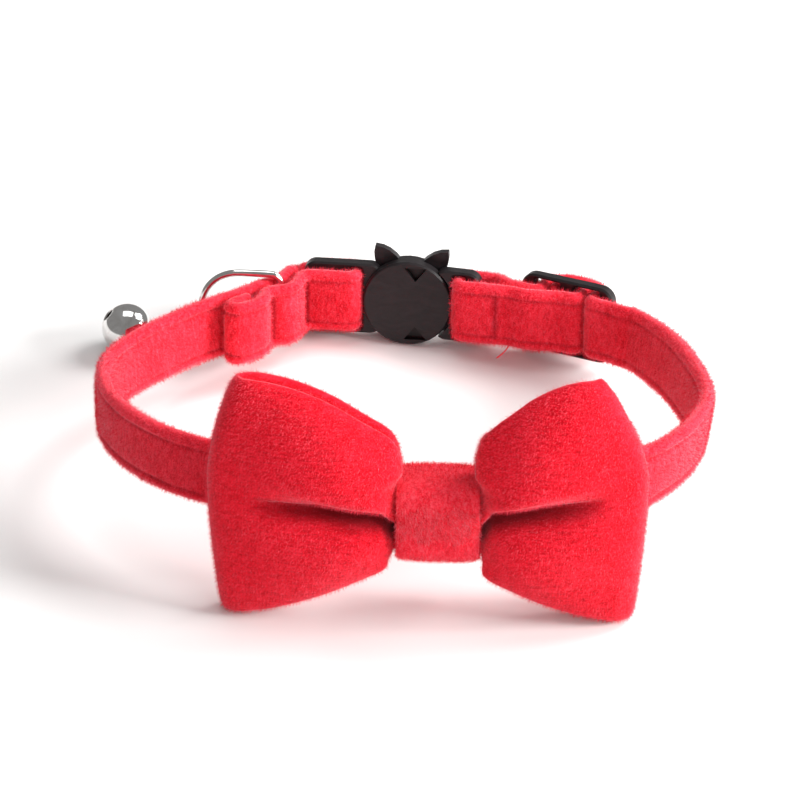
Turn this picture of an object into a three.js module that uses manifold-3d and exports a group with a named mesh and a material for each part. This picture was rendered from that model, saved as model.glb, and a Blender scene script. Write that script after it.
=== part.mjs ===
import * as THREE from 'three';
import { mergeVertices } from 'three/addons/utils/BufferGeometryUtils.js';
import Module from 'manifold-3d';

const wasm = await Module();
wasm.setup();

// Pet bow tie collar, in millimetres.
// The collar is laid out in a plan frame: X to the right, Y from the bow to the buckle, Z across
// the strap's width, with the strap's centre line at Y = 0 under the knot. Then it leans forward
// until the bow's corners and the buckle's disc touch the table, where the bell lies as well.

// Clearances
const fitGap = 0.3;
const layerGap = 0.2;

// Strap of folded velvet webbing
const strapWidth = 10.8;
const strapThickness = 2;

// Loop for the neck, on the strap's centre line
const loopWidth = 94;
const loopDepth = 67.8;
const loopRows = [
  { side: -0.719, back: 0.777 },
  { side: -0.812, back: 0.7 },
  { side: -0.905, back: 0.612 },
  { side: -0.974, back: 0.515 },
  { side: -0.992, back: 0.412 },
  { side: -0.96, back: 0.307 },
  { side: -0.884, back: 0.21 },
  { side: -0.775, back: 0.125 },
  { side: -0.645, back: 0.06 },
  { side: -0.5, back: 0.022 },
  { side: -0.25, back: 0.006 },
  { side: 0.155, back: 0 },
  { side: 0.54, back: 0.005 },
  { side: 0.72, back: 0.022 },
  { side: 0.84, back: 0.078 },
  { side: 0.933, back: 0.162 },
  { side: 0.991, back: 0.25 },
  { side: 1.024, back: 0.335 },
  { side: 1.025, back: 0.41 },
  { side: 0.992, back: 0.525 },
  { side: 0.92, back: 0.67 },
  { side: 0.797, back: 0.797 },
];

// Breakaway buckle: two frames that meet in a round disc
const discDiameter = 15;
const discInnerLayer = 2.1;
const discOuterLayer = 2.1;
const discInset = 0.35;
const frameThickness = 2.3;
const frameHeight = 12.6;
const socketReach = 17.5;
const plugReach = 12.4;
const frameSlot = 2.25;
const slotMargin = 0.25;
const railHeight = 0.75;
const slotCorner = 0.5;
const plateRoot = 4.5;
const frameCorner = 2;
const edgeBevel = 0.3;
const socketYaw = -4.5;
const plugYaw = -13;
const tongueThickness = 1;
const tongueHeight = 10;
const tongueShift = 0.4;
const tongueReach = 3.4;
const earHeight = 3.6;
const earWidth = 4.2;
const earThickness = 1.4;
const earInset = 0.1;
const earSpread = 33;
const earLean = 2.5;
const earRoot = 1.2;
const notchWidth = 3.8;
const notchHeight = 2.4;
const notchDepth = 0.9;
const notchOffset = 1.3;
const notchInset = 1;

// Slider with two slots
const sliderHeight = 13.5;
const sliderThickness = 2;
const sliderEndBar = 2.4;
const sliderMidBar = 2.6;
const sliderSlot = 4.6;
const sliderCorner = 2.4;
const sliderYaw = -25.8;
const sliderSide = 0.566;
const sliderBack = 0.917;
const leadLength = 2.3;
const leadEase = 0.2;

// Sewn tab at the left, which holds the D-ring's bar
const leftTabLength = 18.4;
const dRingStation = 0.52;

// D-ring, jump ring and bell
const dRingWire = 1.2;
const dRingHeight = 12.8;
const dRingReach = 13.4;
const dRingCorner = 1.8;
const dRingYaw = 177;
const jumpRingDiameter = 10.6;
const jumpRingWire = 1;
const bellDiameter = 8.5;
const bellWall = 0.4;
const bellLoopDiameter = 4;
const bellLoopWire = 0.8;
const bellSlotWidth = 0.9;
const bellHoleDiameter = 1.8;
const pelletDiameter = 2.8;
const chainYaw = 182;

// Bow tie
const knotSide = 0.155;
const frontSag = 3.4;
const sagReach = 0.68;
const cornerSag = 1.2;
const cornerSagReach = 4;
const rightLean = 1.4;
const leanStart = 0.36;
const leanRun = 0.1;
const knotSqueeze = 0.92;
const squeezeReach = 1.4;
const knotWidth = 12.8;
const knotWall = 1.4;
const knotCorner = 2.6;
const knotRounding = 0.7;
const bowHeight = 39.6;
const bowLayer = 2.2;
const wingDepth = 6.2;
const leftWing = {
  way: -1,
  length: 27.5,
  topPull: 0.16,
  bottomPull: 0.07,
  topScale: 1,
  bottomSwell: 0.8,
  creaseAt: -0.025,
  creaseClimb: 0.19,
};
const rightWing = {
  way: 1,
  length: 24.1,
  topPull: 0.32,
  bottomPull: 0.07,
  topScale: 0.975,
  bottomSwell: 1.02,
  creaseAt: 0.03,
  creaseClimb: 0.2,
};
const pinchHeight = knotSqueeze * strapWidth;
const bellyDepth = 3.5;
const creaseAbove = 0.1;
const creaseBelow = 0.36;
const creaseCalm = 0.4;
const lipClose = 0.75;
const wingRows = [
  { out: -0.006, rise: 0, spread: 0, sweep: 0, belly: 0, crease: 1 },
  { out: 0.018, rise: 0.09, spread: 0, sweep: 0, belly: 0, crease: 1 },
  { out: 0.038, rise: 0.28, spread: 0.15, sweep: -0.01, belly: 0.04, crease: 1 },
  { out: 0.08, rise: 0.45, spread: 0.6, sweep: -0.08, belly: 0.4, crease: 1 },
  { out: 0.16, rise: 0.55, spread: 0.85, sweep: -0.12, belly: 0.72, crease: 1 },
  { out: 0.28, rise: 0.67, spread: 1, sweep: -0.13, belly: 0.95, crease: 1 },
  { out: 0.42, rise: 0.785, spread: 1, sweep: -0.11, belly: 1, crease: 0.9 },
  { out: 0.58, rise: 0.885, spread: 1, sweep: -0.08, belly: 0.88, crease: 0.62 },
  { out: 0.74, rise: 0.96, spread: 0.95, sweep: -0.06, belly: 0.6, crease: 0.25 },
  { out: 0.9, rise: 1, spread: 0.85, sweep: -0.04, belly: 0.25, crease: 0 },
];
const wingColumns = [-1, -0.82, -0.64, -0.47, -0.32, -0.19, -0.08, 0, 0.06, 0.13, 0.26, 0.45, 0.65, 0.83, 1];

const velvet = new THREE.MeshStandardMaterial({ color: 0xd32038, roughness: 0.95, metalness: 0 });
const blackPlastic = new THREE.MeshStandardMaterial({ color: 0x2a2427, roughness: 0.45, metalness: 0 });
const nickel = new THREE.MeshStandardMaterial({ color: 0xc9c7c4, roughness: 0.15, metalness: 1 });

const degrees = THREE.MathUtils.degToRad;
const pitch = strapThickness + layerGap;

// A closed body through rings of points. The rings join end to end, or the two ends are capped.
function loft(rings, joined) {
  const count = rings[0].length;
  const positions = rings.flat().flatMap((point) => point.toArray());
  const index = [];
  const spans = joined ? rings.length : rings.length - 1;
  for (let ring = 0; ring < spans; ring += 1) {
    const here = ring * count;
    const next = ((ring + 1) % rings.length) * count;
    for (let k = 0; k < count; k += 1) {
      const m = (k + 1) % count;
      index.push(here + k, here + m, next + m, here + k, next + m, next + k);
    }
  }
  if (!joined) {
    const last = (rings.length - 1) * count;
    for (let k = 1; k < count - 1; k += 1) {
      index.push(0, k + 1, k);
      index.push(last, last + k, last + k + 1);
    }
  }
  const geometry = new THREE.BufferGeometry();
  geometry.setAttribute('position', new THREE.Float32BufferAttribute(positions, 3));
  geometry.setIndex(index);
  return geometry;
}

function solidOf(geometry) {
  const bare = geometry.clone();
  bare.deleteAttribute('normal');
  bare.deleteAttribute('uv');
  const merged = mergeVertices(bare, 1e-4);
  const vertProperties = new Float32Array(merged.attributes.position.array);
  const triVerts = new Uint32Array(merged.index.array);
  return new wasm.Manifold(new wasm.Mesh({ numProp: 3, vertProperties, triVerts }));
}

function geometryOf(solid) {
  const mesh = solid.getMesh();
  const geometry = new THREE.BufferGeometry();
  geometry.setAttribute('position', new THREE.BufferAttribute(mesh.vertProperties, 3));
  geometry.setIndex(new THREE.BufferAttribute(mesh.triVerts, 1));
  return geometry;
}

function pieceMesh(name, geometry, material) {
  geometry.computeVertexNormals();
  const mesh = new THREE.Mesh(geometry, material);
  mesh.name = name;
  return mesh;
}

// A frame in plan, turned about the vertical: u runs along it and v away from the neck
function planFrame(x, y, yaw) {
  const along = new THREE.Vector2(Math.cos(degrees(yaw)), Math.sin(degrees(yaw)));
  const out = new THREE.Vector2(-along.y, along.x);
  const origin = new THREE.Vector2(x, y);
  const at = (u, v) => origin.clone().addScaledVector(along, u).addScaledVector(out, v);
  const matrix = new THREE.Matrix4().makeRotationZ(degrees(yaw)).setPosition(x, y, 0);
  return { at, matrix };
}

const socketFrame = planFrame(0, loopDepth, socketYaw);
const plugFrame = planFrame(0, loopDepth, plugYaw);
const sliderFrame = planFrame(sliderSide * loopWidth / 2, sliderBack * loopDepth, sliderYaw);

// Lines from corner to corner, with an arc of its radius at each corner that has one
function roundedPath(corners, arcSteps = 5) {
  const path = [];
  corners.forEach(({ at, radius }, i) => {
    if (!radius) {
      path.push(at);
      return;
    }
    const arriving = at.clone().sub(corners[i - 1].at).normalize();
    const leaving = corners[i + 1].at.clone().sub(at).normalize();
    const turn = Math.atan2(arriving.cross(leaving), arriving.dot(leaving));
    const start = at.clone().addScaledVector(arriving, -radius * Math.tan(Math.abs(turn) / 2));
    const side = new THREE.Vector2(-arriving.y, arriving.x).multiplyScalar(Math.sign(turn));
    const centre = start.clone().addScaledVector(side, radius);
    for (let k = 0; k <= arcSteps; k += 1) {
      path.push(start.clone().rotateAround(centre, turn * k / arcSteps));
    }
  });
  return path;
}

function smoothPath(points, steps) {
  const curve = new THREE.CatmullRomCurve3(points.map((p) => new THREE.Vector3(p.x, p.y, 0)));
  return curve.getPoints(steps).map((p) => new THREE.Vector2(p.x, p.y));
}

// Where the strap's centre line runs beside the frames' bars, and in their slots
const frameLift = frameThickness / 2 + layerGap + strapThickness / 2;
const slotStart = discDiameter / 2 + slotMargin;
const slotMiddle = slotStart + frameSlot / 2;
const wrapRadius = strapThickness / 2 + layerGap;
const barLead = 1.5;

// Round a frame's end bar: along its far side, through the slot and back
function barWrap(frame, way, reach, firstSide) {
  const lead = reach - barLead;
  return roundedPath([
    { at: frame.at(way * lead, firstSide * frameLift) },
    { at: frame.at(way * slotMiddle, firstSide * frameLift), radius: wrapRadius },
    { at: frame.at(way * slotMiddle, -firstSide * frameLift), radius: wrapRadius },
    { at: frame.at(way * lead, -firstSide * frameLift) },
  ]);
}

const sliderLift = sliderThickness / 2 + layerGap + strapThickness / 2;
const tabSide = sliderMidBar / 2 + layerGap + strapThickness / 2;
const sliderEnd = sliderMidBar / 2 + sliderSlot + sliderEndBar;

// Under the right bar, over the middle bar and its fold, and under the left bar
function sliderPass() {
  const overSide = tabSide + pitch;
  const overLift = sliderLift + pitch;
  return roundedPath([
    { at: sliderFrame.at(sliderEnd, -sliderLift) },
    { at: sliderFrame.at(overSide, -sliderLift), radius: wrapRadius },
    { at: sliderFrame.at(overSide, overLift), radius: pitch + wrapRadius },
    { at: sliderFrame.at(-overSide, overLift), radius: pitch + wrapRadius },
    { at: sliderFrame.at(-overSide, -sliderLift), radius: wrapRadius },
    { at: sliderFrame.at(-sliderEnd, -sliderLift) },
  ]);
}

// The strap's end folded round the slider's middle bar
function midBarWrap() {
  return roundedPath([
    { at: sliderFrame.at(-tabSide, -sliderLift - pitch * 0.45) },
    { at: sliderFrame.at(0, -sliderLift) },
    { at: sliderFrame.at(tabSide, -sliderLift), radius: wrapRadius },
    { at: sliderFrame.at(tabSide, sliderLift), radius: wrapRadius },
    { at: sliderFrame.at(-tabSide, sliderLift), radius: wrapRadius },
    { at: sliderFrame.at(-tabSide, -sliderThickness / 2) },
  ]);
}

// Where the strap turns round the end of the socket's bar, outside and inside, as shares of the
// distance between the bar's middle and the strap's
const turnRows = [
  { beyond: -0.09, out: 1 },
  { beyond: 0.42, out: 0.75 },
  { beyond: 0.92, out: -0.6 },
  { beyond: 1.6, out: -2.33 },
  { beyond: 2.76, out: -3.44 },
  { beyond: 4, out: -5.04 },
];
const tabTurnRows = [
  { beyond: 0.21, out: -2.5 },
  { beyond: 0, out: -1.4 },
];

function besideBar({ beyond, out }) {
  return socketFrame.at(-socketReach - beyond * frameLift, out * frameLift);
}

// The loop from the socket's bar round the front to the slider
function neckLoop() {
  const rows = loopRows.map(({ side, back }) => new THREE.Vector2(side * loopWidth / 2, back * loopDepth));
  return smoothPath([
    socketFrame.at(-socketReach + barLead, frameLift),
    ...turnRows.map(besideBar),
    ...rows,
    sliderFrame.at(sliderEnd + leadLength, -sliderLift - 2 * leadEase),
    sliderFrame.at(sliderEnd, -sliderLift),
  ], 80);
}

const neckPath = neckLoop();

// A point beside the loop: how far along from the socket's bar, and how far towards the neck
function besideLoop(along, apart) {
  let walked = 0;
  for (let i = 1; i < neckPath.length; i += 1) {
    const step = neckPath[i].clone().sub(neckPath[i - 1]);
    if (walked + step.length() >= along) {
      const here = neckPath[i - 1].clone().addScaledVector(step, (along - walked) / step.length());
      const inward = new THREE.Vector2(-step.y, step.x).normalize();
      return here.addScaledVector(inward, apart);
    }
    walked += step.length();
  }
  return neckPath.at(-1);
}

// The left tab, from its tucked end to the socket's bar: two seams and the D-ring's pocket
const ringRoom = strapThickness + dRingWire + 2 * layerGap;
const tabRows = [
  { along: 0.93, apart: pitch },
  { along: 1, apart: pitch },
  { along: 1.07, apart: 1.06 * pitch },
  { along: 1.136, apart: 1.22 * pitch },
  { along: 1.162, apart: 1.63 * pitch },
  { along: 1.136, apart: 2.04 * pitch },
  { along: 1.07, apart: 2.2 * pitch },
  { along: 0.98, apart: 2.2 * pitch },
  { along: 0.91, apart: 2.08 * pitch },
  { along: 0.84, apart: 1.75 * pitch },
  { along: 0.77, apart: 1.35 * pitch },
  { along: 0.7, apart: 1.3 * pitch },
  { along: 0.6, apart: 1.45 * pitch },
  { along: dRingStation, apart: ringRoom + layerGap },
];

function leftTab() {
  const points = tabRows.map(({ along, apart }) => besideLoop(barLead + along * leftTabLength, apart));
  points.push(...tabTurnRows.map(besideBar));
  points.push(socketFrame.at(-socketReach + barLead, -frameLift));
  return smoothPath(points, 48);
}

function strapPath() {
  const bridge = smoothPath([
    sliderFrame.at(-sliderEnd, -sliderLift),
    sliderFrame.at(-sliderEnd - leadLength, -sliderLift + leadEase),
    plugFrame.at(plugReach + leadLength, frameLift - leadEase),
    plugFrame.at(plugReach - barLead, frameLift),
  ], 10);
  const underLayer = smoothPath([
    plugFrame.at(plugReach - barLead, -frameLift),
    plugFrame.at(plugReach + leadLength, -frameLift + leadEase),
    sliderFrame.at(-sliderEnd, -sliderLift - pitch),
    sliderFrame.at(-sliderEnd + sliderEndBar, -sliderLift - pitch),
    sliderFrame.at(-tabSide, -sliderLift - pitch * 0.45),
  ], 14);
  const stretches = [
    leftTab(),
    barWrap(socketFrame, -1, socketReach, -1),
    neckPath,
    sliderPass(),
    bridge,
    barWrap(plugFrame, 1, plugReach, 1),
    underLayer,
    midBarWrap(),
  ];
  const all = stretches.flat();
  return all.filter((point, i) => i === 0 || point.distanceTo(all[i - 1]) > 0.05);
}

// The bow's weight pulls the strap down at the knot, and it dips where it turns behind the socket
function sagAt(point) {
  const away = Math.abs(point.x - knotSide * loopWidth / 2) / (sagReach * loopWidth / 2);
  const front = point.y < loopDepth / 2;
  const corner = besideBar(turnRows[1]);
  return (front ? frontSag * fadeOut(away) : 0)
    + cornerSag * fadeOut(point.distanceTo(corner) / cornerSagReach);
}

function fadeOut(away) {
  return away < 1 ? Math.cos(Math.PI / 2 * away) ** 2 : 0;
}

// Inside the knot the strap is squeezed, and at the right its lower edge leans in to the neck
function squeezeAt(point) {
  const away = Math.abs(point.x - knotSide * loopWidth / 2) / (squeezeReach * knotWidth);
  return point.y < loopDepth / 2 ? 1 - (1 - knotSqueeze) * fadeOut(Math.max(0, 2 * away - 1)) : 1;
}

function leanAt(point) {
  return rightLean * (1 - fadeOut(Math.max(0, (point.x / loopWidth - leanStart) / leanRun)));
}

// The strap's section: two flat faces and round folded edges
function strap() {
  const path = strapPath();
  const half = strapThickness / 2;
  const edgeSteps = 3;
  const rings = path.map((here, i) => {
    const before = path[Math.max(i - 1, 0)];
    const after = path[Math.min(i + 1, path.length - 1)];
    const way = after.clone().sub(before).normalize();
    const ring = [];
    for (const end of [1, -1]) {
      for (let k = 0; k <= edgeSteps; k += 1) {
        const angle = Math.PI * k / edgeSteps;
        const level = end * (strapWidth / 2 - half + half * Math.sin(angle)) * squeezeAt(here);
        const side = end * half * Math.cos(angle) + leanAt(here) * (0.5 - level / strapWidth);
        ring.push(new THREE.Vector3(here.x - way.y * side, here.y + way.x * side, level - sagAt(here)));
      }
    }
    return ring;
  });
  return pieceMesh('strap', loft(rings, false), velvet);
}

// A plate in a frame's plane: outline in u and z, thickness from one v to another
function plate(outline, from, to, bevel, frame) {
  const geometry = new THREE.ExtrudeGeometry(outline, {
    depth: to - from - 2 * bevel,
    bevelEnabled: bevel > 0,
    bevelThickness: bevel,
    bevelSize: bevel,
    bevelOffset: -bevel,
    bevelSegments: 1,
    curveSegments: 4,
  });
  geometry.rotateX(Math.PI / 2);
  geometry.translate(0, to - bevel, 0);
  geometry.applyMatrix4(frame.matrix);
  return geometry;
}

function roundedRectangle(shape, left, right, halfHeight, radius) {
  shape.moveTo(left + radius, -halfHeight);
  shape.lineTo(right - radius, -halfHeight);
  shape.absarc(right - radius, -halfHeight + radius, radius, -Math.PI / 2, 0);
  shape.lineTo(right, halfHeight - radius);
  shape.absarc(right - radius, halfHeight - radius, radius, 0, Math.PI / 2);
  shape.lineTo(left + radius, halfHeight);
  shape.absarc(left + radius, halfHeight - radius, radius, Math.PI / 2, Math.PI);
  shape.lineTo(left, -halfHeight + radius);
  shape.absarc(left + radius, -halfHeight + radius, radius, Math.PI, 1.5 * Math.PI);
  return shape;
}

// A buckle frame from the disc to its end bar, with the strap's slot beside the disc
function bucklePlate(frame, way, reach, root) {
  const near = Math.min(way * root, way * reach);
  const far = Math.max(way * root, way * reach);
  const outline = roundedRectangle(new THREE.Shape(), near, far, frameHeight / 2, frameCorner);
  const slotEdge = [way * slotStart, way * (slotStart + frameSlot)].sort((a, b) => a - b);
  const slotHalf = frameHeight / 2 - railHeight;
  outline.holes.push(roundedRectangle(new THREE.Path(), slotEdge[0], slotEdge[1], slotHalf, slotCorner));
  return solidOf(plate(outline, -frameThickness / 2, frameThickness / 2, edgeBevel, frame));
}

function discPlate(from, to, radius) {
  const outline = new THREE.Shape().absarc(0, 0, radius, 0, 2 * Math.PI);
  const geometry = new THREE.ExtrudeGeometry(outline, {
    depth: to - from - 2 * edgeBevel,
    bevelThickness: edgeBevel,
    bevelSize: edgeBevel,
    bevelOffset: -edgeBevel,
    bevelSegments: 1,
    curveSegments: 18,
  });
  geometry.rotateX(Math.PI / 2);
  geometry.translate(0, to - edgeBevel, 0);
  geometry.applyMatrix4(socketFrame.matrix);
  return solidOf(geometry);
}

const discBack = discOuterLayer + (discInnerLayer - frameThickness) / 2;
const discSplit = discBack - discOuterLayer;
const discFront = discSplit - discInnerLayer;
const discRadius = discDiameter / 2;

// A pointed ear that stands on the disc's outer layer
function ear(way) {
  const outline = new THREE.Shape();
  outline.moveTo(-earWidth / 2, -earRoot);
  outline.lineTo(earWidth / 2, -earRoot);
  outline.quadraticCurveTo(earWidth * 0.46, earHeight * 0.6, way * earWidth * 0.08, earHeight);
  outline.quadraticCurveTo(-earWidth * 0.46, earHeight * 0.6, -earWidth / 2, -earRoot);
  const geometry = new THREE.ExtrudeGeometry(outline, {
    depth: earThickness,
    bevelEnabled: false,
    curveSegments: 4,
  });
  geometry.rotateX(Math.PI / 2);
  geometry.translate(0, discBack - earInset, discRadius - discInset);
  const lean = way * earSpread + earLean;
  geometry.rotateY(degrees(lean));
  geometry.applyMatrix4(socketFrame.matrix);
  return solidOf(geometry);
}

// A triangular recess in the disc's face, which points to the disc's middle
function notch(way) {
  const edge = discRadius - notchInset;
  const outline = new THREE.Shape();
  outline.moveTo(notchOffset - notchWidth / 2, way * edge);
  outline.lineTo(notchOffset + notchWidth / 2, way * edge);
  outline.lineTo(notchOffset, way * (edge - notchHeight));
  const geometry = plate(outline, discFront - notchDepth, discFront + notchDepth, 0, socketFrame);
  return solidOf(geometry);
}

function tonguePlate(grow, reach) {
  const outline = new THREE.Shape();
  const half = tongueHeight / 2 + grow;
  outline.moveTo(tongueReach - grow, -half);
  outline.lineTo(reach, -half);
  outline.lineTo(reach, half);
  outline.lineTo(tongueReach - grow, half);
  const thick = tongueThickness / 2 + grow;
  return solidOf(plate(outline, tongueShift - thick, tongueShift + thick, 0, plugFrame));
}

function buckleSocket() {
  const body = bucklePlate(socketFrame, -1, socketReach, plateRoot)
    .add(discPlate(discFront, discSplit + 0.01, discRadius))
    .add(discPlate(discSplit, discBack, discRadius - discInset))
    .add(ear(-1))
    .add(ear(1))
    .subtract(notch(1))
    .subtract(notch(-1))
    .subtract(tonguePlate(fitGap, discDiameter));
  return pieceMesh('buckle_socket', geometryOf(body), blackPlastic);
}

// The plug's frame stops a clearance short of the disc, and its tongue reaches into the disc
function bucklePlug() {
  const clear = new THREE.CylinderGeometry(discRadius + fitGap, discRadius + fitGap, discDiameter, 36);
  clear.applyMatrix4(socketFrame.matrix);
  const body = bucklePlate(plugFrame, 1, plugReach, plateRoot)
    .subtract(solidOf(clear))
    .add(tonguePlate(0, slotStart + 0.001));
  return pieceMesh('buckle_plug', geometryOf(body), blackPlastic);
}

function slider() {
  const outline = roundedRectangle(new THREE.Shape(), -sliderEnd, sliderEnd, sliderHeight / 2, sliderCorner);
  const half = strapWidth / 2 + 2 * layerGap + slotMargin;
  for (const way of [-1, 1]) {
    const inner = way * sliderMidBar / 2;
    const outer = way * (sliderMidBar / 2 + sliderSlot);
    const hole = new THREE.Path();
    roundedRectangle(hole, Math.min(inner, outer), Math.max(inner, outer), half, slotCorner);
    outline.holes.push(hole);
  }
  const thick = sliderThickness / 2;
  const body = solidOf(plate(outline, -thick, thick, edgeBevel, sliderFrame));
  return pieceMesh('slider', geometryOf(body), blackPlastic);
}

// The D-ring in its own plane: a straight bar, two sides and a half round, as a list of points
// with the bar at zero and the reach along the first axis
function dRingOutline() {
  const half = dRingHeight / 2;
  const corner = (u, w, radius) => ({ at: new THREE.Vector2(u, w), radius });
  const sides = roundedPath([
    corner(0, 0),
    corner(0, half, dRingCorner),
    corner(dRingReach, half, half),
    corner(dRingReach, -half, half),
    corner(0, -half, dRingCorner),
    corner(0, -0.01),
  ], 7);
  return sides.filter((point, i) => i === 0 || point.distanceTo(sides[i - 1]) > 0.05);
}

const dRingBar = besideLoop(barLead + dRingStation * leftTabLength, ringRoom / 2);
const dRingFrame = planFrame(dRingBar.x, dRingBar.y, dRingYaw);

function dRing() {
  const path = dRingOutline().map((p) => {
    const plan = dRingFrame.at(p.x, 0);
    return new THREE.Vector3(plan.x, plan.y, p.y);
  });
  const sideways = dRingFrame.at(0, 1).sub(dRingFrame.at(0, 0));
  const across = new THREE.Vector3(sideways.x, sideways.y, 0);
  const rings = path.map((here, i) => {
    const before = path[(i + path.length - 1) % path.length];
    const after = path[(i + 1) % path.length];
    const way = after.clone().sub(before).normalize();
    const out = new THREE.Vector3().crossVectors(way, across);
    return wireRing(here, across, out, dRingWire / 2);
  });
  return pieceMesh('d_ring', loft(rings, true), nickel);
}

function wireRing(centre, first, second, radius, sides = 6) {
  return Array.from({ length: sides }, (_, k) => {
    const angle = 2 * Math.PI * (k + 0.5) / sides;
    return centre.clone()
      .addScaledVector(first, radius * Math.cos(angle))
      .addScaledVector(second, radius * Math.sin(angle));
  });
}

// The knot: a band round the pinched bow and the strap, as a closed path in Y and Z
const pinchDepth = 2 * bowLayer + layerGap;
const knotBack = strapThickness / 2 + fitGap + knotWall / 2;
const knotFront = strapThickness / 2 + 2 * fitGap + pinchDepth + knotWall / 2;
const knotHalf = pinchHeight / 2 + fitGap + knotWall / 2;

function knot() {
  const centreX = knotSide * loopWidth / 2;
  const corner = (y, z, radius) => ({ at: new THREE.Vector2(y, z), radius });
  const path = roundedPath([
    corner(knotBack, 0),
    corner(knotBack, knotHalf, knotWall),
    corner(-knotFront, knotHalf, knotCorner),
    corner(-knotFront, -knotHalf, knotCorner),
    corner(knotBack, -knotHalf, knotWall),
    corner(knotBack, -0.01),
  ]);
  const half = knotWall / 2;
  const edge = knotWidth / 2;
  const flat = edge - half * knotRounding;
  const profile = [[flat, -1], [edge, 0], [flat, 1], [-flat, 1], [-edge, 0], [-flat, -1]];
  const loop = path.slice(0, -1);
  const rings = loop.map((here, i) => {
    const before = loop[(i + loop.length - 1) % loop.length];
    const after = loop[(i + 1) % loop.length];
    const way = after.clone().sub(before).normalize();
    return profile.map(([x, side]) => new THREE.Vector3(
      centreX + x,
      here.x + way.y * side * half,
      here.y - way.x * side * half - frontSag,
    ));
  });
  return pieceMesh('knot', loft(rings, true), velvet);
}

// The bow's cloth: a closed loop of velvet, two layers deep, whose height and spread follow the
// wing rows. It is pinched in the knot and creased outwards from it.
const bowMid = -(strapThickness / 2 + fitGap + pinchDepth / 2);
const layerNear = (bowLayer + layerGap) / 2;
const layerFar = (wingDepth - bowLayer) / 2;
const lipRise = 0.4 * bowLayer;

function wingPoint(wing, row, layer, across) {
  const upper = across > 0;
  const pull = upper ? wing.topPull : wing.bottomPull;
  const reach = wing.length * row.out * (1 - pull * Math.abs(across) ** 1.5);
  const spread = layerNear + (layerFar - layerNear) * row.spread * (1 - lipClose * across ** 4);
  const fold = across / (upper ? creaseAbove : creaseBelow);
  const crease = row.crease * Math.exp(-(fold ** 2));
  const belly = layer < 0 ? bellyDepth * row.belly * (1 - Math.abs(across) ** 2.5) * (1 - crease) : 0;
  const rise = upper ? row.rise * wing.topScale : row.rise ** (1 / wing.bottomSwell);
  const halfHeight = (pinchHeight + (bowHeight - pinchHeight) * rise) / 2 - lipRise;
  const creaseShift = (wing.creaseAt + wing.creaseClimb * row.out) * (1 - across ** 2);
  return new THREE.Vector3(
    knotSide * loopWidth / 2 + wing.way * (knotWidth / 2 + reach),
    bowMid + wingDepth * row.sweep + layer * (spread + belly),
    halfHeight * (across + creaseShift) - frontSag * (1 - row.rise) ** 2,
  );
}

// The fold at a wing's tip, which turns from one layer to the other
function tipPoint(wing, angle, across) {
  const last = wingRows.at(-1);
  const near = wingPoint(wing, last, -1, across);
  const far = wingPoint(wing, last, 1, across);
  const middle = near.clone().add(far).multiplyScalar(0.5);
  const depth = far.y - middle.y;
  const bulge = wing.length * (1 - last.out);
  middle.x += wing.way * bulge * Math.cos(angle);
  middle.y += depth * Math.sin(angle);
  return middle;
}

function bow() {
  const lastColumn = wingColumns.length - 1;
  const foldSteps = 6;
  const stations = [];
  const wingStations = (wing, first) => {
    const rows = [...wingRows];
    rows.forEach((row) => stations.push((across) => wingPoint(wing, row, first, across)));
    for (let k = 1; k < foldSteps; k += 1) {
      const angle = first * Math.PI * (0.5 - k / foldSteps);
      stations.push((across) => tipPoint(wing, angle, across));
    }
    rows.reverse().forEach((row) => stations.push((across) => wingPoint(wing, row, -first, across)));
  };
  wingStations(leftWing, -1);
  wingStations(rightWing, 1);
  const grid = stations.map((station) => wingColumns.map(station));
  const half = bowLayer / 2;
  const rings = grid.map((column, i) => {
    const before = grid[(i + grid.length - 1) % grid.length];
    const after = grid[(i + 1) % grid.length];
    const outer = [];
    const inner = [];
    column.forEach((point, j) => {
      const along = after[j].clone().sub(before[j]);
      const up = column[Math.min(j + 1, lastColumn)].clone().sub(column[Math.max(j - 1, 0)]);
      const normal = up.cross(along).normalize();
      // Beside the crease the wall's thickness is measured level, so its two sides stay apart
      normal.z *= 1 - Math.exp(-((wingColumns[j] / creaseCalm) ** 2));
      normal.normalize();
      outer.push(point.clone().addScaledVector(normal, half));
      inner.unshift(point.clone().addScaledVector(normal, -half));
    });
    const lip = new THREE.Vector3(0, 0, lipRise);
    const top = column[lastColumn].clone().add(lip);
    const bottom = column[0].clone().sub(lip);
    return [...outer, top, ...inner, bottom];
  });
  return pieceMesh('bow', loft(rings, true), velvet);
}

// The leaning part of the collar rests on the bow's corners and on the disc
const leaning = new THREE.Group();
const bowPiece = bow();
const socketPiece = buckleSocket();
leaning.add(strap(), socketPiece, bucklePlug(), slider(), dRing(), bowPiece, knot());

function lowest(object) {
  leaning.updateMatrixWorld(true);
  return new THREE.Box3().setFromObject(object, true).min.z;
}

for (let turn = 0; turn < 6; turn += 1) {
  const drop = lowest(bowPiece) - lowest(socketPiece);
  leaning.rotation.x += drop / loopDepth;
}
leaning.position.z = -lowest(leaning);
leaning.updateMatrixWorld(true);

// The bell lies on the table. Its jump ring is level and goes round the D-ring's lower side.
const bellRadius = bellDiameter / 2;
const ringRadius = (jumpRingDiameter - jumpRingWire) / 2;
const loopRadius = (bellLoopDiameter - bellLoopWire) / 2;
const chainWay = new THREE.Vector3(Math.cos(degrees(chainYaw)), Math.sin(degrees(chainYaw)), 0);

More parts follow.
